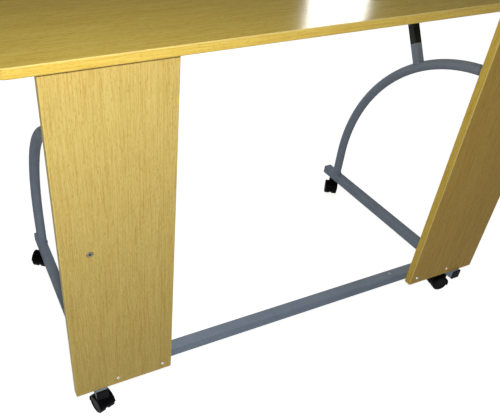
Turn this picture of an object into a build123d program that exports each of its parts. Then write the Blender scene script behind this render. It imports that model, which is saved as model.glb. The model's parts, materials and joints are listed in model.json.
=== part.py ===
from build123d import *
import os
from math import cos, radians, sin, tan

# Sewing table: a laminate top on two front panels and two arched steel side frames on casters.
# Millimetres. +X is the user's right, +Y is towards the back, +Z is up.
# The origin is on the floor under the middle of the tabletop.

# Tabletop
top_width = 1200.0
top_depth = 600.0
top_thickness = 16.0
top_corner_radius = 20.0
top_band = 2.0
top_band_bevel = 1.5
top_overhang = 15.0
top_skin = 4.0

# Front panels
panel_width = 210.0
panel_thickness = 18.0
panel_height = 696.0
panel_side_inset = 57.5
panel_band = 2.0
panel_band_bevel = 1.5

# Steel tube of the side frames and the crossbar
tube = 25.0
tube_wall = 1.5
tube_round = 2.5

# Base bars
bar_inset = 52.0
bar_front = 5.0
bar_length = 571.0

# End caps of the base bars
cap_head = 2.5
cap_bevel = 1.0
cap_plug = 14.0
cap_wall = 2.0

# Arches
bend_radius = 60.0
arch_radius = 428.0
rear_leg = 75.0

# Posts between the arches and the tabletop, with the lean of each one
post_angles = {"left": 10.0, "right": 31.0}
post_width = 20.0
post_wall = 1.5
post_round = 2.0
socket_height = 60.0
socket_lap = 8.0
spigot_length = 35.0
swage_length = 4.0

# Plates under the tabletop
plate_width = 60.0
plate_length = 110.0
plate_thickness = 3.0
plate_round = 8.0
plate_pitch_x = 36.0
plate_pitch_y = 84.0

# Crossbar
crossbar_lift = 5.0
nut_setback = 8.0
nut_thickness = 4.0
bar_screw_offset = 48.0

# Fasteners
screw_diameter = 4.0
screw_head = 8.0
screw_head_height = 2.4
screw_head_taper = 25.0
screw_bite = 8.0
bolt_diameter = 6.0
bolt_head = 10.0
bolt_head_height = 6.0
bolt_socket = 5.0
bolt_socket_depth = 3.0
bolt_end = 2.0
panel_screw_insets = (20.0, 120.0)
panel_bolt_height = 364.0
recess_diameter = 13.0
recess_depth = 7.0
insert_diameter = 10.0
insert_length = 14.0
insert_setback = 0.3

# Cam fittings and dowels between the panels and the tabletop
cam_diameter = 15.0
cam_depth = 12.5
cam_drop = 34.0
cam_pitch = 140.0
cam_pin = 6.0
cam_pin_hole = 8.0
dowel_diameter = 8.0
dowel_depth = 20.0
dowel_pitch = 70.0

# Casters
wheel_diameter = 40.0
wheel_width = 16.0
wheel_bevel = 1.8
wheel_face = 3.5
dish_depth = 1.2
dish_diameter = 30.0
axle_diameter = 6.0
web_thickness = 5.0
web_diameter = 35.0
hood_wall = 2.0
hood_tilt = 15.0
boss_diameter = 18.0
boss_rise = 3.9
caster_trail = 15.0
caster_inset = 32.0
pin_diameter = 7.0
pin_length = 11.5
collar_diameter = 12.0
collar_height = 5.0
stem_diameter = 8.0
stem_length = 12.0
nut_flange = 1.0
nut_flange_diameter = 15.0
nut_body = 11.0
nut_length = 10.0

# Direction in which each caster trails, seen from above, from +X towards +Y
caster_angles = {"front_left": -74.0, "front_right": 168.0, "rear_left": -126.0, "rear_right": -126.0}

# Clearances
fit_gap = 0.1
weld_gap = 0.2
run_gap = 0.05
swivel_gap = 0.3
side_gap = 0.6
wheel_gap = 0.8
end_gap = 0.5

# Heights above the floor
axle_z = wheel_diameter / 2
boss_top = wheel_diameter + wheel_gap + hood_wall + boss_rise
collar_bottom = boss_top + swivel_gap
nut_bottom = collar_bottom + collar_height
bar_bottom = nut_bottom + nut_flange
bar_middle = bar_bottom + tube / 2
bar_top = bar_bottom + tube
crossbar_z = bar_top + crossbar_lift + tube / 2
panel_top = bar_top + panel_height
arch_center_z = bar_top + rear_leg
arch_top = arch_center_z + arch_radius

# Places from front to back
panel_front = -top_depth / 2 + top_overhang
panel_middle = panel_front + panel_thickness / 2
panel_back = panel_front + panel_thickness
leg_y = panel_back + tube / 2
bar_front_y = panel_front - bar_front
bar_rear_y = bar_front_y + bar_length
arch_center_y = leg_y + bend_radius
foot_y = arch_center_y + arch_radius

# Places from side to side
panel_gap = top_width - 2 * (panel_side_inset + panel_width)
panel_x = (panel_gap + panel_width) / 2
bar_x = panel_gap / 2 + panel_width - bar_inset
sides = {"left": -1, "right": 1}

# Radii and lengths shared by parts that fit together
tube_radius = tube / 2
tube_bore = tube - 2 * tube_wall
tube_inner_round = tube_round - tube_wall
post_bore = post_width - 2 * post_wall
post_inner_round = post_round - post_wall
spigot_width = post_bore - 2 * fit_gap
spigot_bore = spigot_width - 2 * post_wall
screw_radius = screw_diameter / 2
bolt_radius = bolt_diameter / 2
top_bite = top_thickness - top_skin
hood_radius = wheel_diameter / 2 + wheel_gap + hood_wall
hood_half_width = web_thickness / 2 + side_gap + wheel_width

os.makedirs("parts", exist_ok=True)


def save(builder, name):
    builder.part.label = name
    export_step(builder.part, f"parts/{name}.step")


def facing(point, direction):
    """Plane at a point whose normal is the direction, with its own X level."""
    across = (0, 1, 0) if abs(direction[0]) > 0.5 else (1, 0, 0)
    return Plane(origin=point, x_dir=across, z_dir=direction)


def cut_round(point, direction, radius, depth):
    """Round hole from a point along a direction."""
    with Locations(facing(point, direction)):
        Cylinder(radius, depth, align=(Align.CENTER, Align.CENTER, Align.MIN), mode=Mode.SUBTRACT)


def against(direction):
    """The opposite direction."""
    return tuple(-part for part in direction)


# Where the panels are pinned to the tabletop
cam_places = [(s * panel_x + t * cam_pitch / 2, panel_middle) for s in (-1, 1) for t in (-1, 1)]
dowel_places = [(s * panel_x + t * dowel_pitch / 2, panel_middle) for s in (-1, 1) for t in (-1, 1)]

# Where the posts meet the tabletop
plate_bottom = panel_top - plate_thickness
plate_ys = {
    side: arch_center_y + (plate_bottom - arch_center_z) * tan(radians(angle)) for side, angle in post_angles.items()
}
plate_places = [
    (s * bar_x + t * plate_pitch_x / 2, plate_ys[side] + u * plate_pitch_y / 2)
    for side, s in sides.items()
    for t in (-1, 1)
    for u in (-1, 1)
]

# Tabletop board, with blind holes underneath for pins, dowels and screws
with BuildPart() as tabletop_board:
    with BuildSketch(Plane.XY.offset(panel_top)):
        RectangleRounded(top_width - 2 * top_band, top_depth - 2 * top_band, top_corner_radius - top_band)
    extrude(amount=top_thickness)
    for x, y in cam_places:
        cut_round((x, y, panel_top), (0, 0, 1), cam_pin / 2 + fit_gap, top_bite)
    for x, y in dowel_places:
        cut_round((x, y, panel_top), (0, 0, 1), dowel_diameter / 2 + fit_gap, top_bite)
    for x, y in plate_places:
        cut_round((x, y, panel_top), (0, 0, 1), screw_radius + fit_gap, top_bite)
save(tabletop_board, "tabletop_board")

# Edge band, one strip all round the board with softened edges
with BuildPart() as tabletop_edge_band:
    with BuildSketch(Plane.XY.offset(panel_top)):
        RectangleRounded(top_width, top_depth, top_corner_radius)
        RectangleRounded(
            top_width - 2 * top_band,
            top_depth - 2 * top_band,
            top_corner_radius - top_band,
            mode=Mode.SUBTRACT,
        )
    extrude(amount=top_thickness)
    rims = [tabletop_edge_band.faces().sort_by(Axis.Z)[end].outer_wire() for end in (0, -1)]
    chamfer([edge for rim in rims for edge in rim.edges()], top_band_bevel)
save(tabletop_edge_band, "tabletop_edge_band")

# Front panels, each with screw holes at the foot, one recessed bolt hole and fittings at the top
for side, s in sides.items():
    screw_places = [(s * (panel_gap / 2 + inset), panel_front, crossbar_z) for inset in panel_screw_insets]
    bolt_place = (s * bar_x, panel_front, bar_top + panel_bolt_height)
    with BuildPart() as panel:
        with BuildSketch(Plane.XY.offset(bar_top)):
            with Locations((s * panel_x, panel_middle)):
                Rectangle(panel_width - 2 * panel_band, panel_thickness)
        extrude(amount=panel_height)
        for place in screw_places:
            cut_round(place, (0, 1, 0), screw_radius + fit_gap, panel_thickness)
        cut_round(bolt_place, (0, 1, 0), bolt_radius + fit_gap, panel_thickness)
        cut_round(bolt_place, (0, 1, 0), recess_diameter / 2, recess_depth)
        for x, y in [place for place in cam_places if place[0] * s > 0]:
            cut_round((x, y, panel_top), (0, 0, -1), cam_pin_hole / 2, cam_drop)
            cut_round(
                (x, panel_back, panel_top - cam_drop), (0, -1, 0), cam_diameter / 2 + fit_gap, cam_depth + fit_gap
            )
        for x, y in [place for place in dowel_places if place[0] * s > 0]:
            cut_round((x, y, panel_top), (0, 0, -1), dowel_diameter / 2 + fit_gap, dowel_depth + end_gap)
    save(panel, f"{side}_panel")

    for edge_name, e in {"inner": -1, "outer": 1}.items():
        with BuildPart() as band:
            with BuildSketch(Plane.XY.offset(bar_top)):
                with Locations((s * (panel_x + e * (panel_width - panel_band) / 2), panel_middle)):
                    Rectangle(panel_band, panel_thickness)
            extrude(amount=panel_height)
            chamfer(band.edges().filter_by(Axis.Z).group_by(Axis.X)[-1 if s * e > 0 else 0], panel_band_bevel)
        save(band, f"{side}_panel_{edge_name}_edge_band")

# Base bars, square tubes on their casters
caster_ys = {"front": bar_front_y + caster_inset, "rear": bar_rear_y - caster_inset}
for side, s in sides.items():
    with BuildPart() as bar:
        with BuildSketch(facing((s * bar_x, bar_front_y, bar_middle), (0, 1, 0))):
            RectangleRounded(tube, tube, tube_round)
            RectangleRounded(tube_bore, tube_bore, tube_inner_round, mode=Mode.SUBTRACT)
        extrude(amount=bar_length)
        for y in caster_ys.values():
            cut_round((s * bar_x, y, bar_bottom), (0, 0, 1), nut_body / 2 + fit_gap, tube / 2)
    save(bar, f"{side}_base_bar")

# End caps, a square head on a hollow plug
plug = tube_bore - 2 * fit_gap
bar_ends = {"front": (bar_front_y, -1), "rear": (bar_rear_y, 1)}
for side, s in sides.items():
    for end, (y, out) in bar_ends.items():
        with BuildPart() as cap:
            with BuildSketch(facing((s * bar_x, y, bar_middle), (0, out, 0))):
                RectangleRounded(tube, tube, tube_round)
            extrude(amount=cap_head)
            chamfer(cap.faces().sort_by(Axis((0, 0, 0), (0, out, 0)))[-1].edges(), cap_bevel)
            with BuildSketch(facing((s * bar_x, y, bar_middle), (0, -out, 0))):
                RectangleRounded(plug, plug, tube_inner_round)
                Rectangle(plug - 2 * cap_wall, plug - 2 * cap_wall, mode=Mode.SUBTRACT)
            extrude(amount=cap_plug)
        save(cap, f"{side}_{end}_end_cap")

# Arches, one bent tube each: an upright front leg, a tight bend and a wide quarter round down to the rear foot
for side, s in sides.items():
    with BuildPart() as arch:
        with BuildLine(Plane.YZ.offset(s * bar_x)):
            Line((leg_y, bar_top), (leg_y, arch_top - bend_radius))
            CenterArc((arch_center_y, arch_top - bend_radius), bend_radius, 180, -90)
            CenterArc((arch_center_y, arch_center_z), arch_radius, 90, -90)
            Line((foot_y, arch_center_z), (foot_y, bar_top))
        with BuildSketch(facing((s * bar_x, leg_y, bar_top), (0, 0, 1))):
            Circle(tube_radius)
            Circle(tube_radius - tube_wall, mode=Mode.SUBTRACT)
        sweep()
        cut_round(
            (s * bar_x, leg_y - tube_radius, bar_top + panel_bolt_height),
            (0, 1, 0),
            insert_diameter / 2 + fit_gap,
            tube_radius,
        )
        cut_round((s * (bar_x - tube), leg_y, crossbar_z), (s, 0, 0), bolt_radius + fit_gap, 2 * tube)
    save(arch, f"{side}_arch")

# Posts: a painted square socket saddled on the arch, a black tube plugged into it and a plate under the top
for side, s in sides.items():
    lean = radians(post_angles[side])
    saddle = Vector(s * bar_x, arch_center_y + arch_radius * sin(lean), arch_center_z + arch_radius * cos(lean))
    post_plane = Plane(origin=saddle, x_dir=(1, 0, 0), z_dir=(0, sin(lean), cos(lean)))
    socket_start = tube_radius - socket_lap
    with BuildPart() as socket:
        with BuildSketch(post_plane.offset(socket_start)):
            RectangleRounded(post_width, post_width, post_round)
            RectangleRounded(post_bore, post_bore, post_inner_round, mode=Mode.SUBTRACT)
        extrude(amount=socket_height - socket_start)
        with Locations(Plane(origin=(s * bar_x, arch_center_y, arch_center_z), z_dir=(1, 0, 0))):
            Torus(arch_radius, tube_radius + weld_gap, mode=Mode.SUBTRACT)
    save(socket, f"{side}_post_socket")

    post_reach = (plate_bottom - saddle.Z) / cos(lean) + post_width
    with BuildPart() as post:
        with BuildSketch(post_plane.offset(socket_height - spigot_length)):
            RectangleRounded(spigot_width, spigot_width, post_inner_round)
            Rectangle(spigot_bore, spigot_bore, mode=Mode.SUBTRACT)
        extrude(amount=spigot_length)
        with BuildSketch(post_plane.offset(socket_height)):
            RectangleRounded(post_width, post_width, post_round)
            Rectangle(spigot_bore, spigot_bore, mode=Mode.SUBTRACT)
        extrude(amount=swage_length)
        with BuildSketch(post_plane.offset(socket_height + swage_length)):
            RectangleRounded(post_width, post_width, post_round)
            RectangleRounded(post_bore, post_bore, post_inner_round, mode=Mode.SUBTRACT)
        extrude(amount=post_reach - socket_height - swage_length)
        split(bisect_by=Plane.XY.offset(plate_bottom), keep=Keep.BOTTOM)
    save(post, f"{side}_post")

    with BuildPart() as plate:
        with BuildSketch(Plane.XY.offset(plate_bottom)):
            with Locations((s * bar_x, plate_ys[side])):
                RectangleRounded(plate_width, plate_length, plate_round)
        extrude(amount=plate_thickness)
        for x, y in [place for place in plate_places if place[0] * s > 0]:
            cut_round((x, y, plate_bottom), (0, 0, 1), screw_radius + fit_gap, plate_thickness)
    save(plate, f"{side}_post_plate")

# Crossbar, a square tube whose ends are saddled round the front legs
with BuildPart() as crossbar:
    with BuildSketch(facing((-bar_x, leg_y, crossbar_z), (1, 0, 0))):
        RectangleRounded(tube, tube, tube_round)
        RectangleRounded(tube_bore, tube_bore, tube_inner_round, mode=Mode.SUBTRACT)
    extrude(amount=2 * bar_x)
    with Locations((-bar_x, leg_y, crossbar_z), (bar_x, leg_y, crossbar_z)):
        Cylinder(tube_radius + weld_gap, 2 * tube, mode=Mode.SUBTRACT)
    for s in sides.values():
        for inset in panel_screw_insets:
            cut_round(
                (s * (panel_gap / 2 + inset), panel_back, crossbar_z), (0, 1, 0), screw_radius + fit_gap, tube / 2
            )
    cut_round(
        (panel_gap / 2 - bar_screw_offset, leg_y, crossbar_z + tube / 2),
        (0, 0, -1),
        screw_radius + fit_gap,
        tube / 2,
    )
save(crossbar, "crossbar")

# Nut plates inside the ends of the crossbar
nut_face = bar_x - tube_radius - nut_setback
with BuildPart() as crossbar_nuts:
    for s in sides.values():
        with BuildSketch(facing((s * nut_face, leg_y, crossbar_z), (-s, 0, 0))):
            RectangleRounded(tube_bore - 2 * fit_gap, tube_bore - 2 * fit_gap, tube_inner_round)
            Circle(bolt_radius + fit_gap, mode=Mode.SUBTRACT)
        extrude(amount=nut_thickness)
save(crossbar_nuts, "crossbar_nuts")

# Socket-head bolts: through the front legs into the crossbar, and through the panels into the arches
bolt_groups = {
    "crossbar_bolts": [
        (
            (s * (bar_x + tube_radius), leg_y, crossbar_z),
            (-s, 0, 0),
            tube + nut_setback + nut_thickness + bolt_end,
        )
        for s in sides.values()
    ],
    "panel_bolts": [
        (
            (s * bar_x, panel_front + recess_depth, bar_top + panel_bolt_height),
            (0, 1, 0),
            panel_thickness - recess_depth + insert_length - bolt_end,
        )
        for s in sides.values()
    ],
}
for name, places in bolt_groups.items():
    with BuildPart() as bolts:
        for seat, direction, reach in places:
            with BuildSketch(facing(seat, direction)):
                Circle(bolt_radius)
            extrude(amount=reach)
            with BuildSketch(facing(seat, against(direction))):
                Circle(bolt_head / 2)
            extrude(amount=bolt_head_height)
            with BuildSketch(facing(seat, against(direction)).offset(bolt_head_height)):
                RegularPolygon(bolt_socket / 2, side_count=6, major_radius=False)
            extrude(amount=-bolt_socket_depth, mode=Mode.SUBTRACT)
    save(bolts, name)

# Pan-head screws: panel feet to the crossbar, post plates to the top, and one in the top of the crossbar
screw_groups = {
    "panel_screws": [
        ((s * (panel_gap / 2 + inset), panel_front, crossbar_z), (0, 1, 0), panel_thickness + screw_bite)
        for s in sides.values()
        for inset in panel_screw_insets
    ],
    "plate_screws": [
        ((x, y, plate_bottom), (0, 0, 1), plate_thickness + top_bite - end_gap) for x, y in plate_places
    ],
    "crossbar_screw": [
        ((panel_gap / 2 - bar_screw_offset, leg_y, crossbar_z + tube / 2), (0, 0, -1), screw_bite)
    ],
}
for name, places in screw_groups.items():
    with BuildPart() as screws:
        for seat, direction, reach in places:
            with BuildSketch(facing(seat, direction)):
                Circle(screw_radius)
            extrude(amount=reach)
            with BuildSketch(facing(seat, against(direction))):
                Circle(screw_head / 2)
            extrude(amount=screw_head_height, taper=screw_head_taper)
    save(screws, name)

# Threaded inserts in the front legs for the panel bolts
with BuildPart() as panel_bolt_inserts:
    for s in sides.values():
        mouth = (s * bar_x, panel_back + insert_setback, bar_top + panel_bolt_height)
        with BuildSketch(facing(mouth, (0, 1, 0))):
            Circle(insert_diameter / 2)
            Circle(bolt_radius + fit_gap, mode=Mode.SUBTRACT)
        extrude(amount=insert_length)
save(panel_bolt_inserts, "panel_bolt_inserts")

# Dowels between the panels and the tabletop
with BuildPart() as panel_dowels:
    for x, y in dowel_places:
        with BuildSketch(Plane.XY.offset(panel_top - dowel_depth)):
            with Locations((x, y)):
                Circle(dowel_diameter / 2)
        extrude(amount=dowel_depth + top_bite - end_gap)
save(panel_dowels, "panel_dowels")

# Cam pins hanging from the tabletop into the panels
with BuildPart() as cam_pins:
    for x, y in cam_places:
        with BuildSketch(Plane.XY.offset(panel_top - cam_drop)):
            with Locations((x, y)):
                Circle(cam_pin / 2)
        extrude(amount=cam_drop + top_bite - end_gap)
save(cam_pins, "cam_pins")

# Cams in the backs of the panels, each open towards its pin
with BuildPart() as cam_locks:
    for x, y in cam_places:
        with BuildSketch(facing((x, panel_back, panel_top - cam_drop), (0, -1, 0))):
            Circle(cam_diameter / 2)
        extrude(amount=cam_depth)
    for x, y in cam_places:
        cut_round((x, y, panel_top - cam_drop - end_gap), (0, 0, 1), cam_pin / 2 + weld_gap, cam_diameter)
save(cam_locks, "cam_locks")

# Flanged nuts in the base bars for the caster stems
caster_places = {
    f"{end}_{side}": (s * bar_x, y) for end, y in caster_ys.items() for side, s in sides.items()
}
with BuildPart() as caster_nuts:
    for x, y in caster_places.values():
        with BuildSketch(facing((x, y, nut_bottom), (0, 0, 1))):
            Circle(nut_flange_diameter / 2)
        extrude(amount=nut_flange)
        with BuildSketch(facing((x, y, bar_bottom), (0, 0, 1))):
            Circle(nut_body / 2)
        extrude(amount=nut_length)
        cut_round((x, y, nut_bottom), (0, 0, 1), stem_diameter / 2 + fit_gap, nut_flange + nut_length)
save(caster_nuts, "caster_nuts")

# One caster, shaped with its stem on the Z axis and its axle towards +X, then set at each corner
axle_plane = Plane(origin=(caster_trail, 0, axle_z), x_dir=(1, 0, 0), z_dir=(0, -1, 0))
level_plane = Plane(origin=(caster_trail, 0, axle_z))

# Stem: a pin for the hood, a hexagon collar and the part that screws into the bar
with BuildPart() as stem_shape:
    with BuildSketch(Plane.XY.offset(boss_top - pin_length)):
        Circle(pin_diameter / 2)
    extrude(amount=pin_length + swivel_gap)
    with BuildSketch(Plane.XY.offset(collar_bottom)):
        RegularPolygon(collar_diameter / 2, side_count=6)
    extrude(amount=collar_height)
    with BuildSketch(Plane.XY.offset(nut_bottom)):
        Circle(stem_diameter / 2)
    extrude(amount=nut_flange + stem_length)

# Hood: a boss round the stem, a web between the wheels and a curved cover over them
with BuildPart() as hood_shape:
    with BuildSketch(Plane.XY.offset(axle_z)):
        Circle(boss_diameter / 2)
    extrude(amount=boss_top - axle_z)
    for wheel_side in (-1, 1):
        with BuildSketch(axle_plane.offset(wheel_side * web_thickness / 2)):
            Circle(hood_radius - hood_wall)
        extrude(amount=wheel_side * (hood_half_width + hood_wall), mode=Mode.SUBTRACT)
    with BuildSketch(axle_plane):
        Circle(hood_radius)
        Circle(hood_radius - hood_wall, mode=Mode.SUBTRACT)
        Rectangle(
            3 * hood_radius,
            2 * hood_radius,
            rotation=hood_tilt,
            align=(Align.CENTER, Align.MAX),
            mode=Mode.SUBTRACT,
        )
    extrude(amount=hood_half_width, both=True)
    with BuildSketch(axle_plane):
        Circle(hood_radius)
        Rectangle(
            3 * hood_radius,
            2 * hood_radius,
            rotation=hood_tilt,
            align=(Align.CENTER, Align.MAX),
            mode=Mode.SUBTRACT,
        )
        Circle(web_diameter / 2)
    extrude(amount=web_thickness / 2, both=True)
    cut_round((0, 0, boss_top), (0, 0, -1), pin_diameter / 2 + run_gap, pin_length + end_gap)
    cut_round(
        (caster_trail, web_thickness, axle_z), (0, -1, 0), axle_diameter / 2 + fit_gap, 2 * web_thickness
    )

with BuildPart() as axle_shape:
    with BuildSketch(axle_plane):
        Circle(axle_diameter / 2)
    extrude(amount=hood_half_width - wheel_face - end_gap, both=True)

# Wheels: a blind bore on the axle, bevelled tread edges and a dished face, one on each side of the web
wheel_shapes = {}
for wheel_name, w in {"left": 1, "right": -1}.items():
    inside = w * (web_thickness / 2 + side_gap)
    outside = w * hood_half_width
    bottom = outside - w * wheel_face
    bore = axle_diameter / 2 + run_gap
    with BuildPart() as wheel_shape:
        with BuildSketch(level_plane) as wheel_section:
            with BuildLine():
                Polyline(
                    (0, bottom),
                    (bore, bottom),
                    (bore, inside),
                    (wheel_diameter / 2, inside),
                    (wheel_diameter / 2, outside),
                    (dish_diameter / 2, outside),
                    (dish_diameter / 2 - dish_depth, outside - w * dish_depth),
                    (0, outside - w * dish_depth),
                    close=True,
                )
            make_face()
            chamfer(wheel_section.vertices().group_by(Axis.X)[-1], wheel_bevel)
        revolve(axis=Axis((caster_trail, 0, axle_z), (0, 1, 0)))
    wheel_shapes[wheel_name] = wheel_shape

caster_shapes = {
    "stem": stem_shape,
    "hood": hood_shape,
    "axle": axle_shape,
    "left_wheel": wheel_shapes["left"],
    "right_wheel": wheel_shapes["right"],
}
for corner, (x, y) in caster_places.items():
    for piece_name, shape in caster_shapes.items():
        with BuildPart() as caster_piece:
            with Locations(Location((x, y, 0), (0, 0, caster_angles[corner]))):
                add(shape.part)
        save(caster_piece, f"{corner}_caster_{piece_name}")
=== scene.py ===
import json
from math import atan2, cos, pi, radians, sin, sqrt

import bmesh
import bpy
from mathutils import Matrix, Vector


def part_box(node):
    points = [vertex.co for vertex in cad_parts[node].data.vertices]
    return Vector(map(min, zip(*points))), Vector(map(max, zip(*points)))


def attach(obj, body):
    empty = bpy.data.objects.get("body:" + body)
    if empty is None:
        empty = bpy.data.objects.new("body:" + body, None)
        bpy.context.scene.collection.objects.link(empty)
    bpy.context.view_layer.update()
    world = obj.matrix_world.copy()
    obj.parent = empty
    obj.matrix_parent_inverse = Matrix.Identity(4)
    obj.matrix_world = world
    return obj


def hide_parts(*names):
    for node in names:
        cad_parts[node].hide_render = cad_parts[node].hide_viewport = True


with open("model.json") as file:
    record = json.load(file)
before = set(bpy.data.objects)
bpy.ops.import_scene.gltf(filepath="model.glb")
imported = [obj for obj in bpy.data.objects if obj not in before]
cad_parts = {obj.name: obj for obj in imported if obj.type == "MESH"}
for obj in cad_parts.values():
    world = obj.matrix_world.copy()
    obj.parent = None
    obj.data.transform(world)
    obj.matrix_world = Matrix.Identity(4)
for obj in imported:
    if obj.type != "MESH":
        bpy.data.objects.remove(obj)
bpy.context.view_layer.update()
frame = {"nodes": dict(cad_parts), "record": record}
scene = bpy.context.scene
scene.view_settings.view_transform = "Standard"

MM = 0.001
WHITE = (1.0, 1.0, 1.0, 1.0)
SIDES = {"left": -1, "right": 1}


def middle(name):
    """Centre of a CAD node's box."""
    low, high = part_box(name)
    return (low + high) / 2


# Places read from the solids, in metres
bar_low, bar_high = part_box("right_base_bar")
TUBE_RADIUS = (bar_high.x - bar_low.x) / 2
BAR_X = middle("right_base_bar").x
BAR_TOP = bar_high.z
LEG_Y = middle("crossbar").y
CROSSBAR_Z = middle("crossbar").z
PANEL_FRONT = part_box("right_panel")[0].y
PANEL_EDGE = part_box("right_panel_inner_edge_band")[0].x
PLATE_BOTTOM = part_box("right_post_plate")[0].z
PLATE_Y = {side: middle(f"{side}_post_plate").y for side in SIDES}
post_low, post_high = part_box("right_post")
POST_HALF = (post_high.x - post_low.x) / 2

# Sizes repeated from the solids, because their boxes don't give them exactly
BEND_RADIUS = 60.0 * MM
ARCH_RADIUS = 428.0 * MM
REAR_LEG = 75.0 * MM
POST_ROUND = 2.0 * MM

# The arch's wide round has this centre, and each post points away from it
ARCH_CENTER = Vector((0.0, LEG_Y + BEND_RADIUS, BAR_TOP + REAR_LEG))
FOOT_Y = {"front": LEG_Y, "rear": ARCH_CENTER.y + ARCH_RADIUS}
POST_LEANS = {side: atan2(y - ARCH_CENTER.y, PLATE_BOTTOM - ARCH_CENTER.z) for side, y in PLATE_Y.items()}


# Node helpers
def new_material(name):
    material = bpy.data.materials.new(name)
    material.use_nodes = True
    tree = material.node_tree
    shader = tree.nodes["Principled BSDF"]
    return material, tree, shader


def node(tree, kind, links=(), **settings):
    """Adds a node; settings set its properties, links feed its inputs."""
    made = tree.nodes.new(kind)
    for key, value in settings.items():
        setattr(made, key, value)
    for socket, value in dict(links).items():
        target = made.inputs[socket]
        if isinstance(value, bpy.types.NodeSocket):
            tree.links.new(value, target)
        else:
            target.default_value = value
    return made


def ramp(tree, value, stops):
    made = node(tree, "ShaderNodeValToRGB", {"Fac": value})
    elements = made.color_ramp.elements
    while len(elements) < len(stops):
        elements.new(0.5)
    for element, (position, color) in zip(elements, stops):
        element.position = position
        element.color = color
    return made.outputs["Color"]


def fade(tree, value, span, first, last):
    """Colour that goes from first to last while the value crosses the span."""
    start, end = span
    return ramp(tree, value, [(start, first), (end, last)])


def grey(level):
    return (level, level, level, 1.0)


# Where a mix node keeps its factor and its colour sockets
MIX_FACTOR, MIX_A, MIX_B, MIX_RESULT = 0, 6, 7, 2


def mix(tree, factor, a, b, blend="MIX"):
    links = {MIX_FACTOR: factor, MIX_A: a, MIX_B: b}
    return node(tree, "ShaderNodeMix", links, data_type="RGBA", blend_type=blend).outputs[MIX_RESULT]


def math(tree, operation, a, b=0.0):
    return node(tree, "ShaderNodeMath", {0: a, 1: b}, operation=operation).outputs[0]


def noise(tree, vector, scale, detail, roughness):
    links = {"Vector": vector, "Scale": scale, "Detail": detail, "Roughness": roughness}
    return node(tree, "ShaderNodeTexNoise", links).outputs["Fac"]


def stretch(tree, vector, scale, location=(0.0, 0.0, 0.0)):
    links = {"Vector": vector, "Scale": scale, "Location": location}
    return node(tree, "ShaderNodeMapping", links).outputs[0]


def set_bump(tree, shader, height, strength, distance):
    bump = node(tree, "ShaderNodeBump", {"Height": height, "Strength": strength, "Distance": distance})
    tree.links.new(bump.outputs["Normal"], shader.inputs["Normal"])


def linear(red, green, blue):
    """Display colour, 0 to 255, as the shader's linear colour by the sRGB curve."""
    parts = []
    for part in (red, green, blue):
        part /= 255.0
        parts.append(part / 12.92 if part <= 0.04045 else ((part + 0.055) / 1.055) ** 2.4)
    return (*parts, 1.0)


# Wood
# layers of the print: repeats per metre along and across the grain, noise detail, noise roughness
SWAY = (1.6, 6.0, 2.0, 0.5)
BANDS = (0.7, 26.0, 2.0, 0.5)
STREAKS = (13.0, 390.0, 3.0, 0.62)
FIBRES = (42.0, 1050.0, 2.0, 0.6)
LINES = (3.2, 210.0, 2.0, 0.5)
FLECKS = (125.0, 1250.0, 1.0, 0.4)
SWAY_WIDTH = 8.0 * MM
LINE_SHIFT = (1.0, 4.0, 2.0)
FLECK_SHIFT = (3.0, 1.0, 2.0)
BAND_WEIGHT, STREAK_WEIGHT, FIBRE_WEIGHT = 0.24, 0.50, 0.60
LIGHT_AT, MID_AT, DARK_AT = 0.25, 0.50, 0.75
FLECK_SPAN = (0.60, 0.70)
LINE_SPAN = (0.006, 0.034)
LINE_STRENGTH = 0.55
FLECK_TINT = (0.80, 0.68, 0.50, 1.0)
# painted highlight on the bevel faces of the edge bands: how far their normals lean, the paler colour
# painted on them and how much of it shows
HIGHLIGHT_LEAN_LEAST, HIGHLIGHT_LEAN_MOST = 0.3, 0.95
PAINTED_HIGHLIGHT_TINT = linear(255, 240, 168)
PAINTED_HIGHLIGHT_STRENGTH = 0.4
FIBRE_SPAN = (0.2, 0.8)
WOOD_ROUGHER, WOOD_SMOOTHER = 0.05, 0.04
UNDERSIDE_NORMAL = -0.5
UNDERSIDE_ROUGHNESS = 0.8
WOOD_BUMP, WOOD_BUMP_DEPTH = 0.06, 0.1 * MM
GRAIN_AXES = {"X": ("X", "Y", "Z"), "Z": ("Z", "X", "Y")}


def grain_coordinates(tree, axis, shift):
    """Object coordinates turned so that the grain runs along X, shifted so no two boards match."""
    place = node(tree, "ShaderNodeTexCoord").outputs["Object"]
    parts = node(tree, "ShaderNodeSeparateXYZ", {"Vector": place}).outputs
    turned = node(tree, "ShaderNodeCombineXYZ", zip("XYZ", (parts[key] for key in GRAIN_AXES[axis])))
    return stretch(tree, turned.outputs[0], (1.0, 1.0, 1.0), shift)


def grain(tree, vector, layer, shift=(0.0, 0.0, 0.0)):
    """One layer of the print."""
    along, across, detail, roughness = layer
    return noise(tree, stretch(tree, vector, (along, across, across), shift), 1.0, detail, roughness)


def weigh(tree, parts):
    """0.5 plus each value's distance from 0.5 times its weight."""
    total = 0.5
    for value, weight in parts:
        swing = math(tree, "MULTIPLY", math(tree, "SUBTRACT", value, 0.5), weight)
        total = math(tree, "ADD", swing, total)
    return total


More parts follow.
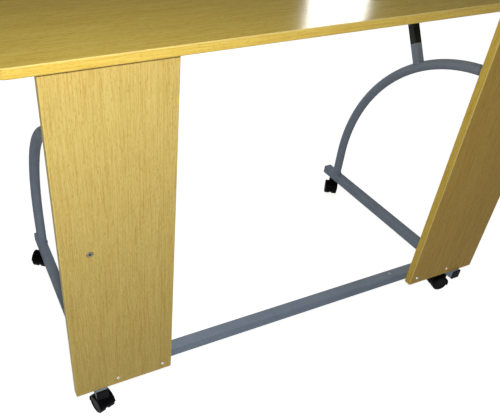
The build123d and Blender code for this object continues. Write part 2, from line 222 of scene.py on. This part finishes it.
def wood_material(name, axis, shift, tones, roughness, specular, highlight_axis=None):
    """Beech print: broad bands, narrow streaks and thin lines along the grain, and short dark flecks.

    Faces that look down have a dull backing sheet. On an edge band, highlight_axis is the axis that the
    bevel faces lean towards; a paler colour is painted on them as a painted highlight.
    """
    material, tree, shader = new_material(name)
    light, mid, dark = tones
    along = grain_coordinates(tree, axis, shift)
    sway = math(tree, "MULTIPLY", grain(tree, along, SWAY), SWAY_WIDTH)
    push = node(tree, "ShaderNodeCombineXYZ", {"Y": sway}).outputs[0]
    bent = node(tree, "ShaderNodeVectorMath", {0: along, 1: push}, operation="ADD").outputs[0]
    band = grain(tree, bent, BANDS)
    streak = grain(tree, bent, STREAKS)
    fibre = grain(tree, bent, FIBRES)
    fleck = grain(tree, along, FLECKS, FLECK_SHIFT)
    line = grain(tree, bent, LINES, LINE_SHIFT)
    value = weigh(tree, [(band, BAND_WEIGHT), (streak, STREAK_WEIGHT), (fibre, FIBRE_WEIGHT)])
    tone = ramp(tree, value, [(LIGHT_AT, light), (MID_AT, mid), (DARK_AT, dark)])
    flecks = fade(tree, fleck, FLECK_SPAN, WHITE, FLECK_TINT)
    tone = mix(tree, 1.0, tone, flecks, "MULTIPLY")
    away = math(tree, "ABSOLUTE", math(tree, "SUBTRACT", line, 0.5))
    lines = fade(tree, away, LINE_SPAN, FLECK_TINT, WHITE)
    tone = mix(tree, LINE_STRENGTH, tone, mix(tree, 1.0, tone, lines, "MULTIPLY"))
    facing = node(tree, "ShaderNodeTexCoord").outputs["Normal"]
    normal = node(tree, "ShaderNodeSeparateXYZ", {"Vector": facing}).outputs
    # paint a paler colour on the bevel faces of an edge band: a painted highlight
    if highlight_axis:
        lean = math(tree, "ABSOLUTE", normal[highlight_axis])
        enough = math(tree, "GREATER_THAN", lean, HIGHLIGHT_LEAN_LEAST)
        cut = math(tree, "MULTIPLY", enough, math(tree, "LESS_THAN", lean, HIGHLIGHT_LEAN_MOST))
        tone = mix(tree, math(tree, "MULTIPLY", cut, PAINTED_HIGHLIGHT_STRENGTH), tone, PAINTED_HIGHLIGHT_TINT)
    tree.links.new(tone, shader.inputs["Base Color"])
    rough = fade(tree, fibre, FIBRE_SPAN, grey(roughness + WOOD_ROUGHER), grey(roughness - WOOD_SMOOTHER))
    below = math(tree, "LESS_THAN", normal["Z"], UNDERSIDE_NORMAL)
    rough = mix(tree, below, rough, grey(UNDERSIDE_ROUGHNESS))
    tree.links.new(rough, shader.inputs["Roughness"])
    shader.inputs["Specular IOR Level"].default_value = specular
    set_bump(tree, shader, math(tree, "ADD", fibre, flecks), WOOD_BUMP, WOOD_BUMP_DEPTH)
    return material


# Paint
# layers: repeats per metre, noise detail, noise roughness
PAINT_CLOUD = (26.0, 4.0, 0.6)
PAINT_PEEL = (1100.0, 2.0, 0.5)
PAINT_SCUFF = (60.0, 6.0, 0.7)
CLOUD_SPAN = (0.3, 0.7)
PEEL_SPAN = (0.35, 0.65)
PEEL_SHADE = 0.90
SCUFF_SPAN = (0.45, 0.72)
SCUFF_ROUGHER = 0.16
PAINT_BUMP, PAINT_BUMP_DEPTH = 0.18, 0.25 * MM


def paint_material(name, color, low, high, roughness, specular):
    """Powder coat: fine orange peel, slight cloudiness and a few dull scuffs."""
    material, tree, shader = new_material(name)
    place = node(tree, "ShaderNodeTexCoord").outputs["Object"]
    cloud = noise(tree, place, *PAINT_CLOUD)
    peel = noise(tree, place, *PAINT_PEEL)
    scuff = noise(tree, place, *PAINT_SCUFF)
    tone = mix(tree, 1.0, color, fade(tree, cloud, CLOUD_SPAN, grey(low), grey(high)), "MULTIPLY")
    tone = mix(tree, 1.0, tone, fade(tree, peel, PEEL_SPAN, grey(PEEL_SHADE), WHITE), "MULTIPLY")
    tree.links.new(tone, shader.inputs["Base Color"])
    rough = fade(tree, scuff, SCUFF_SPAN, grey(roughness), grey(roughness + SCUFF_ROUGHER))
    tree.links.new(rough, shader.inputs["Roughness"])
    shader.inputs["Specular IOR Level"].default_value = specular
    set_bump(tree, shader, peel, PAINT_BUMP, PAINT_BUMP_DEPTH)
    return material


# Plastic
# layer: repeats per metre, noise detail, noise roughness
PLASTIC_DUST = (90.0, 5.0, 0.65)
DUST_SPAN = (0.45, 0.75)
DUST_MOST = 0.4
DUST_GAIN, DUST_LIFT = 2.4, 0.004
TEXTURE_DETAIL, TEXTURE_NOISE_ROUGHNESS = 2.0, 0.55
TEXTURE_SPAN = (0.3, 0.7)
PLASTIC_SMOOTHER, PLASTIC_ROUGHER = 0.06, 0.10
PLASTIC_BUMP, PLASTIC_BUMP_DEPTH = 0.25, 0.2 * MM


def plastic_material(name, color, texture_scale, roughness, specular):
    """Moulded plastic: fine spark-eroded texture and dusty patches."""
    material, tree, shader = new_material(name)
    place = node(tree, "ShaderNodeTexCoord").outputs["Object"]
    fine = noise(tree, place, texture_scale, TEXTURE_DETAIL, TEXTURE_NOISE_ROUGHNESS)
    dust = fade(tree, noise(tree, place, *PLASTIC_DUST), DUST_SPAN, grey(0.0), grey(DUST_MOST))
    dusty = tuple(min(1.0, part * DUST_GAIN + DUST_LIFT) for part in color[:3]) + (1.0,)
    tree.links.new(mix(tree, dust, color, dusty), shader.inputs["Base Color"])
    smoother, rougher = grey(roughness - PLASTIC_SMOOTHER), grey(roughness + PLASTIC_ROUGHER)
    tree.links.new(fade(tree, fine, TEXTURE_SPAN, smoother, rougher), shader.inputs["Roughness"])
    shader.inputs["Specular IOR Level"].default_value = specular
    set_bump(tree, shader, fine, PLASTIC_BUMP, PLASTIC_BUMP_DEPTH)
    return material


# Steel
# layer: repeats per metre, noise detail, noise roughness
STEEL_BLOOM = (160.0, 4.0, 0.6)
BLOOM_SPAN = (0.35, 0.7)
BLOOM_SHADE = 0.72
SCRATCH_SCALE = (300.0, 2600.0, 900.0)
SCRATCH_DETAIL, SCRATCH_NOISE_ROUGHNESS = 2.0, 0.5
SCRATCH_SPAN = (0.3, 0.7)
SCRATCH_ROUGHER = 0.15
STEEL_BUMP, STEEL_BUMP_DEPTH = 0.10, 0.1 * MM


def steel_material(name, color, roughness):
    """Plated steel: metal with a cloudy bloom and fine scratches."""
    material, tree, shader = new_material(name)
    place = node(tree, "ShaderNodeTexCoord").outputs["Object"]
    bloom = fade(tree, noise(tree, place, *STEEL_BLOOM), BLOOM_SPAN, grey(0.0), WHITE)
    scratched = stretch(tree, place, SCRATCH_SCALE)
    scratch = noise(tree, scratched, 1.0, SCRATCH_DETAIL, SCRATCH_NOISE_ROUGHNESS)
    darker = tuple(part * BLOOM_SHADE for part in color[:3]) + (1.0,)
    tree.links.new(mix(tree, bloom, color, darker), shader.inputs["Base Color"])
    shader.inputs["Metallic"].default_value = 1.0
    rough = fade(tree, scratch, SCRATCH_SPAN, grey(roughness), grey(roughness + SCRATCH_ROUGHER))
    tree.links.new(rough, shader.inputs["Roughness"])
    set_bump(tree, shader, scratch, STEEL_BUMP, STEEL_BUMP_DEPTH)
    return material


# Colours; a wood has a light, a middle and a dark one
TOP_LAMINATE = (linear(245, 218, 114), linear(232, 203, 95), linear(213, 180, 76))
LEFT_LAMINATE = (linear(235, 210, 131), linear(222, 196, 114), linear(204, 174, 92))
# the right panel's tones are warmer and deeper than the left's: painted shade, for the shade that panel
# stands in
RIGHT_LAMINATE_PAINTED_SHADE = (linear(234, 199, 112), linear(221, 184, 96), linear(202, 162, 76))
BAND = (linear(245, 217, 113), linear(238, 206, 98), linear(221, 184, 78))
BEECH = (linear(222, 190, 140), linear(210, 176, 124), linear(188, 150, 100))
FRAME_GREY = linear(150, 164, 183)
# black for the upper posts: painted shadow, standing in for the shadow that the tabletop casts on them
POST_BLACK_PAINTED_SHADOW = linear(42, 45, 40)
PLASTIC_BLACK = linear(9, 9, 12)
WHEEL_BLACK = linear(10, 10, 13)
ZINC = (0.74, 0.74, 0.72, 1.0)
# darker steel for the bolts: painted shade, standing in for the shade in the recesses round their heads
BOLT_STEEL_PAINTED_SHADE = (0.26, 0.26, 0.25, 1.0)

# Materials
top_wood = wood_material(
    "top_laminate", "X", shift=(0.3, 0.1, 0.0), tones=TOP_LAMINATE, roughness=0.14, specular=0.06
)
left_wood = wood_material(
    "left_panel_laminate", "Z", shift=(1.7, 0.4, 0.2), tones=LEFT_LAMINATE, roughness=0.42, specular=0.05
)
# same laminate as the left panel, with warmer, deeper tones as painted shade
right_wood_painted_shade = wood_material(
    "right_panel_laminate_painted_shade", "Z", shift=(5.1, 1.3, 0.7), tones=RIGHT_LAMINATE_PAINTED_SHADE, roughness=0.42, specular=0.05
)
top_band = wood_material(
    "top_edge_band", "X", shift=(7.3, 2.0, 0.5), tones=BAND, roughness=0.32, specular=0.20, highlight_axis="Z"
)
panel_band = wood_material(
    "panel_edge_band", "Z", shift=(9.1, 0.3, 1.5), tones=BAND, roughness=0.36, specular=0.02, highlight_axis="Y"
)
dowel_wood = wood_material(
    "dowel_beech", "Z", shift=(2.0, 2.0, 2.0), tones=BEECH, roughness=0.6, specular=0.2
)
frame_paint = paint_material("frame_paint", FRAME_GREY, low=0.92, high=1.04, roughness=0.48, specular=0.03)
# black_paint is painted shadow: its black stands in for the tabletop's shadow on the upper posts
black_paint = paint_material("black_paint", POST_BLACK_PAINTED_SHADOW, low=0.85, high=1.10, roughness=0.40, specular=0.15)
black_plastic = plastic_material(
    "black_plastic", PLASTIC_BLACK, texture_scale=2600.0, roughness=0.46, specular=0.04
)
wheel_plastic = plastic_material(
    "wheel_plastic", WHEEL_BLACK, texture_scale=1800.0, roughness=0.42, specular=0.04
)
zinc = steel_material("zinc_plate", ZINC, roughness=0.26)
# bolt steel darkened as painted shade for the recesses round the heads
painted_shade_bolt_steel = steel_material("bolt_steel_with_painted_shade", BOLT_STEEL_PAINTED_SHADE, roughness=0.30)

BY_NODE = {
    "tabletop_board": top_wood,
    "tabletop_edge_band": top_band,
    "left_panel": left_wood,
    "right_panel": right_wood_painted_shade,
    "panel_bolts": painted_shade_bolt_steel,
    "crossbar_bolts": painted_shade_bolt_steel,
}
BY_SLOT = {
    "frame_paint": frame_paint,
    "black_paint": black_paint,
    "black_plastic": black_plastic,
    "wheel_plastic": wheel_plastic,
    "zinc_steel": zinc,
    "dowel_wood": dowel_wood,
}
for row in frame["record"]["subparts"]:
    name = row["node"]
    material = BY_NODE.get(name) or BY_SLOT.get(row["material_slot"], panel_band)
    piece = frame["nodes"][name]
    piece.data.materials.clear()
    piece.data.materials.append(material)


# Added pieces
def add_piece(mesh, material):
    """Makes the mesh a piece of the table body, named as the mesh is."""
    mesh.materials.append(material)
    piece = bpy.data.objects.new(mesh.name, mesh)
    scene.collection.objects.link(piece)
    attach(piece, "table")
    return piece


def smooth(mesh, angle):
    """Shades the mesh smooth, apart from edges sharper than the angle in degrees."""
    for face in mesh.polygons:
        face.use_smooth = True
    mesh.set_sharp_from_angle(angle=radians(angle))


# Weld beads
BEAD_RADIUS = 1.7 * MM
PLATE_BEAD_RADIUS = 1.3 * MM
BEAD_SIDES = 10
BEAD_RIPPLE = 0.22
RIPPLE_PITCH = 2.6 * MM
BEAD_STANDOFF = 0.4 * MM
FOOT_BEAD_RISE = 0.5 * MM
FOOT_BEAD_POINTS = 96
POINTS_PER_SIDE, POINTS_PER_CORNER = 14, 6
BEAD_SHARP = 70.0
# a direction that no bead runs along
BEAD_REFERENCE = Vector((0.31, 0.17, 0.93))


def bead_mesh(name, points, radius):
    """Weld bead: a closed tube along the points whose thickness swells once per pitch."""
    count = len(points)
    verts, faces = [], []
    travelled = 0.0
    for index, point in enumerate(points):
        ahead = (points[(index + 1) % count] - points[index - 1]).normalized()
        travelled += (point - points[index - 1]).length if index else 0.0
        side = ahead.cross(BEAD_REFERENCE).normalized()
        other = ahead.cross(side)
        size = radius * (1.0 + BEAD_RIPPLE * abs(sin(pi * travelled / RIPPLE_PITCH)))
        for step in range(BEAD_SIDES):
            turn = 2.0 * pi * step / BEAD_SIDES
            verts.append(point + (side * cos(turn) + other * sin(turn)) * size)
    for index in range(count):
        here, there = index * BEAD_SIDES, (index + 1) % count * BEAD_SIDES
        for step in range(BEAD_SIDES):
            after = (step + 1) % BEAD_SIDES
            faces.append((here + step, here + after, there + after, there + step))
    mesh = bpy.data.meshes.new(name)
    mesh.from_pydata(verts, [], faces)
    work = bmesh.new()
    work.from_mesh(mesh)
    bmesh.ops.recalc_face_normals(work, faces=work.faces)
    work.to_mesh(mesh)
    work.free()
    smooth(mesh, BEAD_SHARP)
    return mesh


def square_ring(half, corner):
    """Points round a square with rounded corners, as pairs."""
    ring = []
    flat = half - corner
    for quarter in range(4):
        turn = Matrix.Rotation(quarter * pi / 2, 2)
        for step in range(POINTS_PER_SIDE):
            ring.append(turn @ Vector((half, -flat + 2.0 * flat * step / POINTS_PER_SIDE)))
        for step in range(POINTS_PER_CORNER):
            bend = pi / 2 * step / POINTS_PER_CORNER
            ring.append(turn @ Vector((flat + corner * cos(bend), flat + corner * sin(bend))))
    return ring


# round the feet of the arches
ring_radius = TUBE_RADIUS + BEAD_STANDOFF
for side, sign in SIDES.items():
    for end, foot_y in FOOT_Y.items():
        center = Vector((sign * BAR_X, foot_y, BAR_TOP + FOOT_BEAD_RISE))
        ring = []
        for step in range(FOOT_BEAD_POINTS):
            turn = 2.0 * pi * step / FOOT_BEAD_POINTS
            ring.append(center + Vector((ring_radius * cos(turn), ring_radius * sin(turn), 0.0)))
        add_piece(bead_mesh(f"{side}_{end}_foot_weld", ring, BEAD_RADIUS), frame_paint)

# where the post sockets sit on the arches, and where the posts meet their plates
for side, sign in SIDES.items():
    lean = POST_LEANS[side]
    post_axis = Vector((0.0, sin(lean), cos(lean)))
    tangent = Vector((0.0, cos(lean), -sin(lean)))
    saddle = ARCH_CENTER + post_axis * ARCH_RADIUS + Vector((sign * BAR_X, 0.0, 0.0))
    socket_ring, plate_ring = [], []
    for across, ahead in square_ring(POST_HALF + BEAD_STANDOFF, POST_ROUND):
        start = saddle + Vector((across, 0.0, 0.0)) + tangent * ahead
        height = sqrt(ring_radius**2 - across**2) - ahead**2 / (2.0 * ARCH_RADIUS)
        socket_ring.append(start + post_axis * height)
        plate_ring.append(start + post_axis * ((PLATE_BOTTOM - BEAD_STANDOFF - start.z) / post_axis.z))
    add_piece(bead_mesh(f"{side}_socket_weld", socket_ring, BEAD_RADIUS), frame_paint)
    # the plate welds take the posts' black, which is painted shadow
    add_piece(bead_mesh(f"{side}_plate_weld", plate_ring, PLATE_BEAD_RADIUS), black_paint)

# Pan-head screws, in millimetres: radius and depth of the head's rings, then the thread and the point
SCREW_HEAD = ((0.0, -2.45), (1.2, -2.4), (2.3, -2.1), (3.2, -1.5), (3.75, -0.8), (3.95, -0.25), (3.85, 0.0))
NECK_RADIUS = 2.0
THREAD_ROOT, THREAD_CREST = 1.55, 1.95
THREAD_START, THREAD_PITCH, THREAD_STOP = 1.2, 1.1, 2.0
POINT_RADIUS, POINT_LENGTH = 1.3, 1.6
RECESS_LENGTH, RECESS_WIDTH, RECESS_DEPTH = 4.3, 0.95, 2.6
RECESS_AT = -2.4
SCREW_SIDES = 24
SCREW_SHARP = 40.0
# radians for each vertex made before, so that no two recesses lie alike
SCREW_TURN = 0.7


def screw_profile(reach):
    """Radius and depth of each ring of a screw that reaches that far in, from the dome to the point."""
    profile = [*SCREW_HEAD, (NECK_RADIUS, 0.0)]
    depth = THREAD_START
    while depth < reach - THREAD_STOP:
        profile += [(THREAD_ROOT, depth), (THREAD_CREST, depth + THREAD_PITCH / 2)]
        depth += THREAD_PITCH
    return profile + [(POINT_RADIUS, reach - POINT_LENGTH), (0.0, reach)]


def turned_mesh(profile, place):
    """The profile turned about Z, in its place."""
    work = bmesh.new()
    rings = []
    for radius, depth in profile:
        count = SCREW_SIDES if radius else 1
        turns = [2.0 * pi * step / SCREW_SIDES for step in range(count)]
        spots = [Vector((radius * cos(turn), radius * sin(turn), depth)) * MM for turn in turns]
        rings.append([work.verts.new(spot) for spot in spots])
    for low, high in zip(rings, rings[1:]):
        for step in range(SCREW_SIDES):
            after = step + 1
            corners = [low[step % len(low)], low[after % len(low)]]
            corners += [high[after % len(high)], high[step % len(high)]]
            work.faces.new(list(dict.fromkeys(corners)))
    bmesh.ops.transform(work, matrix=place, verts=work.verts)
    mesh = bpy.data.meshes.new("turned")
    work.to_mesh(mesh)
    work.free()
    return mesh


def cross_mesh(place):
    """Two crossed bars that cut the recess out of a screw's head."""
    work = bmesh.new()
    shape = Matrix.Diagonal((RECESS_LENGTH * MM, RECESS_WIDTH * MM, RECESS_DEPTH * MM, 1.0))
    sunk = place @ Matrix.Translation((0.0, 0.0, RECESS_AT * MM))
    for quarter in (0.0, pi / 2):
        box = bmesh.ops.create_cube(work, size=1.0)
        matrix = sunk @ Matrix.Rotation(quarter, 4, "Z") @ shape
        bmesh.ops.transform(work, matrix=matrix, verts=box["verts"])
    mesh = bpy.data.meshes.new("cross")
    work.to_mesh(mesh)
    work.free()
    return mesh


def cut_mesh(base, cutter):
    """Base less cutter, as a new mesh."""
    body = bpy.data.objects.new("cut_body", base)
    tool = bpy.data.objects.new("cut_tool", cutter)
    for item in (body, tool):
        scene.collection.objects.link(item)
    change = body.modifiers.new("cut", "BOOLEAN")
    change.operation = "DIFFERENCE"
    change.object = tool
    change.use_self = True
    bpy.context.view_layer.update()
    result = bpy.data.meshes.new_from_object(body.evaluated_get(bpy.context.evaluated_depsgraph_get()))
    for item in (body, tool):
        bpy.data.objects.remove(item)
    return result


def screw_mesh(name, places):
    """Pan-head cross-recess screws: a domed head, a plain neck and a threaded shank on each place."""
    whole = bmesh.new()
    for seat, direction, reach in places:
        turn = Vector((0.0, 0.0, 1.0)).rotation_difference(Vector(direction)).to_matrix().to_4x4()
        spin = Matrix.Rotation(SCREW_TURN * len(whole.verts), 4, "Z")
        place = Matrix.Translation(seat) @ turn @ spin
        whole.from_mesh(cut_mesh(turned_mesh(screw_profile(reach), place), cross_mesh(place)))
    mesh = bpy.data.meshes.new(name)
    bmesh.ops.recalc_face_normals(whole, faces=whole.faces)
    whole.to_mesh(mesh)
    whole.free()
    smooth(mesh, SCREW_SHARP)
    return mesh


# seat, direction and reach of each screw; a reach is in millimetres
PANEL_SCREW_INSETS = (20.0 * MM, 120.0 * MM)
BAR_SCREW_OFFSET = 48.0 * MM
PLATE_SCREW_X, PLATE_SCREW_Y = 18.0 * MM, 42.0 * MM
PANEL_SCREW_REACH, BAR_SCREW_REACH, PLATE_SCREW_REACH = 26.0, 8.0, 14.5
screw_groups = {
    "panel_screws": [
        ((sign * (PANEL_EDGE + inset), PANEL_FRONT, CROSSBAR_Z), (0, 1, 0), PANEL_SCREW_REACH)
        for sign in SIDES.values()
        for inset in PANEL_SCREW_INSETS
    ],
    "crossbar_screw": [
        ((PANEL_EDGE - BAR_SCREW_OFFSET, LEG_Y, CROSSBAR_Z + TUBE_RADIUS), (0, 0, -1), BAR_SCREW_REACH)
    ],
    "plate_screws": [
        (
            (sign * BAR_X + x * PLATE_SCREW_X, PLATE_Y[side] + y * PLATE_SCREW_Y, PLATE_BOTTOM),
            (0, 0, 1),
            PLATE_SCREW_REACH,
        )
        for side, sign in SIDES.items()
        for x in (-1, 1)
        for y in (-1, 1)
    ],
}
for name, places in screw_groups.items():
    piece = add_piece(screw_mesh(f"{name}_detailed", places), zinc)
    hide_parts(name)

# Camera, solved from the photo
CAMERA_AT = Vector((-0.67145, -1.01354, 1.07530))
YAW, PITCH, ROLL = radians(-24.99), radians(36.97), radians(1.90)
forward = Vector((-sin(YAW) * cos(PITCH), cos(YAW) * cos(PITCH), -sin(PITCH)))
level_right = Vector((cos(YAW), sin(YAW), 0.0))
level_up = level_right.cross(forward)
right = level_right * cos(ROLL) + level_up * sin(ROLL)
up = level_up * cos(ROLL) - level_right * sin(ROLL)
camera = bpy.data.objects.new("camera", bpy.data.cameras.new("camera"))
camera.data.lens = 41.22
camera.data.sensor_width = 36.0
camera.data.shift_x = 0.1478
camera.data.shift_y = 0.0256
camera.data.clip_start = 0.01
camera.matrix_world = Matrix((right, up, -forward)).transposed().to_4x4()
camera.matrix_world.translation = CAMERA_AT
scene.collection.objects.link(camera)
scene.camera = camera


# Light
def area_light(name, place, target, size, power):
    light = bpy.data.lights.new(name, "AREA")
    light.shape = "RECTANGLE"
    light.size, light.size_y = size
    light.energy = power
    lamp = bpy.data.objects.new(name, light)
    lamp.location = place
    lamp.rotation_euler = (Vector(target) - Vector(place)).to_track_quat("-Z", "Y").to_euler()
    scene.collection.objects.link(lamp)
    return lamp


# the camera's flash, the window that the top mirrors, and a soft light from behind that nothing mirrors
area_light("flash", place=(-0.65, -1.01, 1.15), target=(-0.25, -0.2, 0.35), size=(0.06, 0.06), power=8.4)
area_light("window", place=(2.32, 2.60, 1.86), target=(-0.03, -0.24, 0.79), size=(0.44, 0.70), power=12.0)
back = area_light("back", place=(-0.1, 2.6, 0.8), target=(0.0, 0.1, 0.4), size=(1.4, 0.9), power=16.0)
back.visible_glossy = False

# The world is white where the camera sees it, and near the horizon where a surface mirrors it
AMBIENT = 0.12
HORIZON_SPAN = (0.06, 0.16)
world = bpy.data.worlds.new("studio")
world.use_nodes = True
scene.world = world
tree = world.node_tree
sky = tree.nodes["Background"]
sky.inputs["Color"].default_value = WHITE
path = node(tree, "ShaderNodeLightPath").outputs
way = node(tree, "ShaderNodeTexCoord").outputs["Generated"]
rise = node(tree, "ShaderNodeSeparateXYZ", {"Vector": way}).outputs["Z"]
low = fade(tree, rise, HORIZON_SPAN, WHITE, grey(0.0))
mirrored = math(tree, "MAXIMUM", path["Is Glossy Ray"], path["Is Transmission Ray"])
seen = math(tree, "MAXIMUM", path["Is Camera Ray"], math(tree, "MULTIPLY", mirrored, low))
strength = math(tree, "ADD", math(tree, "MULTIPLY", seen, 1.0 - AMBIENT), AMBIENT)
tree.links.new(strength, sky.inputs["Strength"])

# Floor
FLOOR_REACH = 9.0
FLOOR_GREY = grey(0.55)
FLOOR_ROUGHNESS = 0.9
FLOOR_GLOW = 0.86
floor_mesh = bpy.data.meshes.new("floor")
corners = [(x * FLOOR_REACH, y * FLOOR_REACH, 0.0) for x, y in ((-1, -1), (1, -1), (1, 1), (-1, 1))]
floor_mesh.from_pydata(corners, [], [(0, 1, 2, 3)])
floor = bpy.data.objects.new("floor", floor_mesh)
scene.collection.objects.link(floor)
material, tree, shader = new_material("floor")
shader.inputs["Base Color"].default_value = FLOOR_GREY
shader.inputs["Roughness"].default_value = FLOOR_ROUGHNESS
path = node(tree, "ShaderNodeLightPath").outputs
seen = math(tree, "MAXIMUM", path["Is Camera Ray"], path["Is Glossy Ray"])
seen = math(tree, "MAXIMUM", seen, path["Is Transmission Ray"])
tree.links.new(math(tree, "MULTIPLY", seen, FLOOR_GLOW), shader.inputs["Emission Strength"])
shader.inputs["Emission Color"].default_value = WHITE
floor_mesh.materials.append(material)
